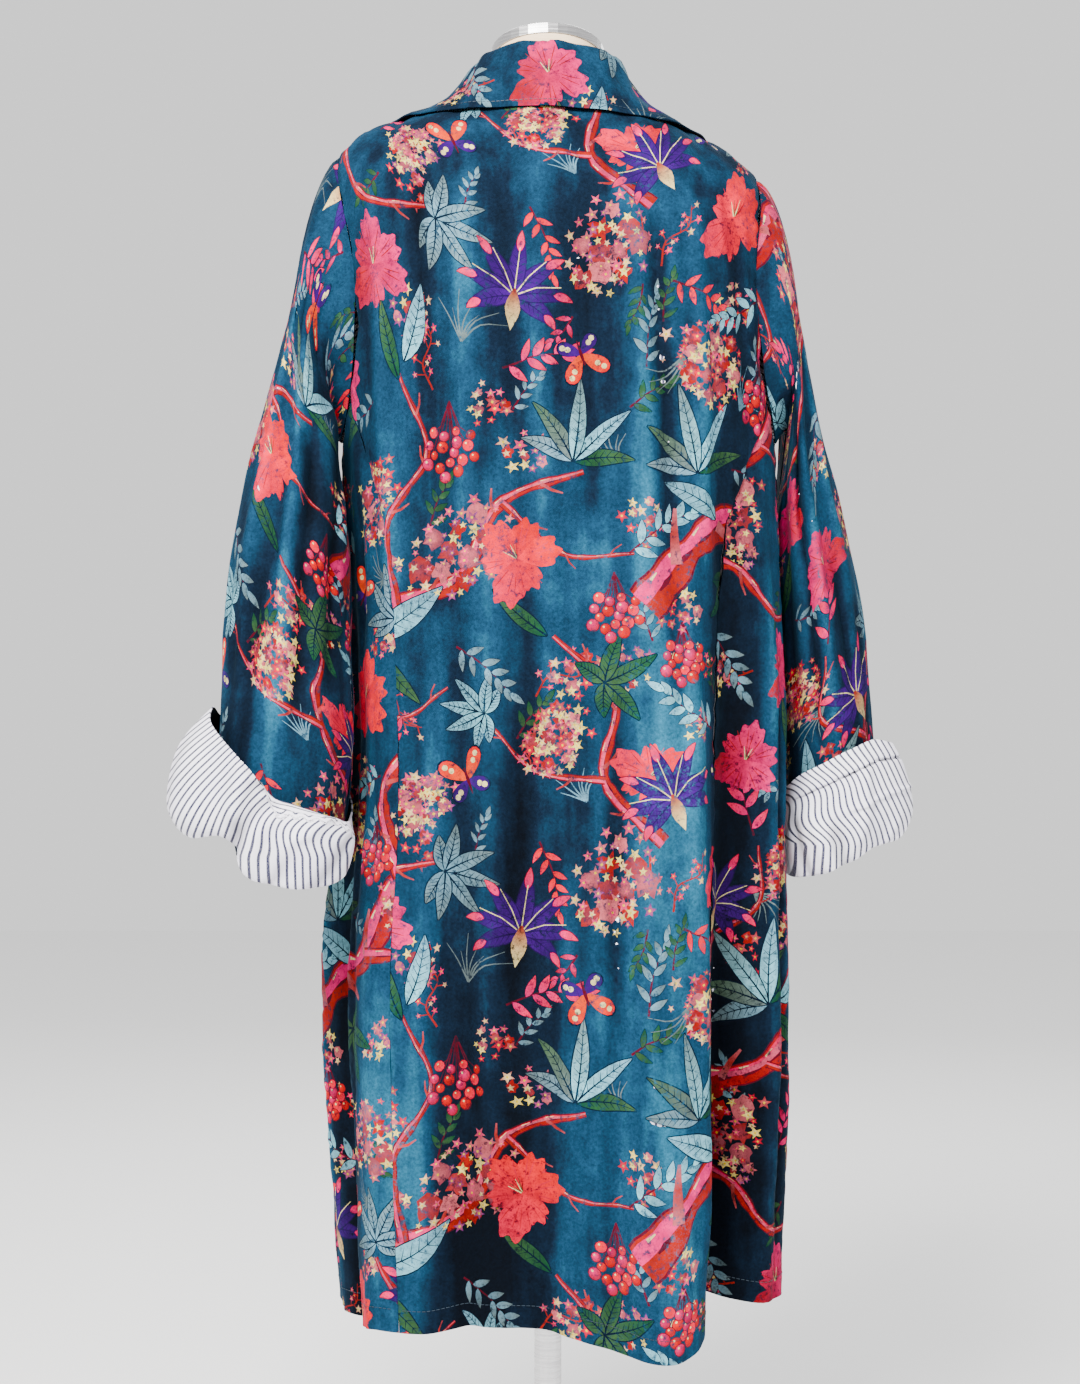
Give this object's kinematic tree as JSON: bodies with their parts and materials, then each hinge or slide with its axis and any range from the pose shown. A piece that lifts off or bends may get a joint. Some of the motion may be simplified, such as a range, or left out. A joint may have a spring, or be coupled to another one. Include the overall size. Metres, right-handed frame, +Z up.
{
  "type": "long jacket on dress form",
  "caption": "Long loose velvet jacket with a fold-over collar and wide turned-back striped cuffs, worn open on a limbless dress form with a round base.",
  "frame": {"origin": "on the floor, at the middle of the stand's base", "axes": "+Z up the pole, -Y out of the jacket's back, +Y out of its open front, +X to the wearer's right as the back is seen"},
  "size_m": [0.761, 0.3949, 1.5992],
  "materials": {
    "printed_velvet": "teal cotton velvet with a flower print",
    "striped_lining": "white cotton with thin navy stripes",
    "cream_jersey": "cream jersey over a firm form",
    "brushed_steel": "brushed"
  },
  "bodies": {
    "root": {"back": "printed_velvet", "side_back_left": "printed_velvet", "side_back_right": "printed_velvet", "front_left": "printed_velvet", "front_right": "printed_velvet", "sleeve_left": "printed_velvet", "sleeve_right": "printed_velvet", "collar": "printed_velvet", "cuff_left": "striped_lining", "cuff_right": "striped_lining", "form_torso": "cream_jersey", "form_neck_cap": "brushed_steel", "stand_pole": "brushed_steel", "stand_base": "brushed_steel"}
  },
  "joints": []
}
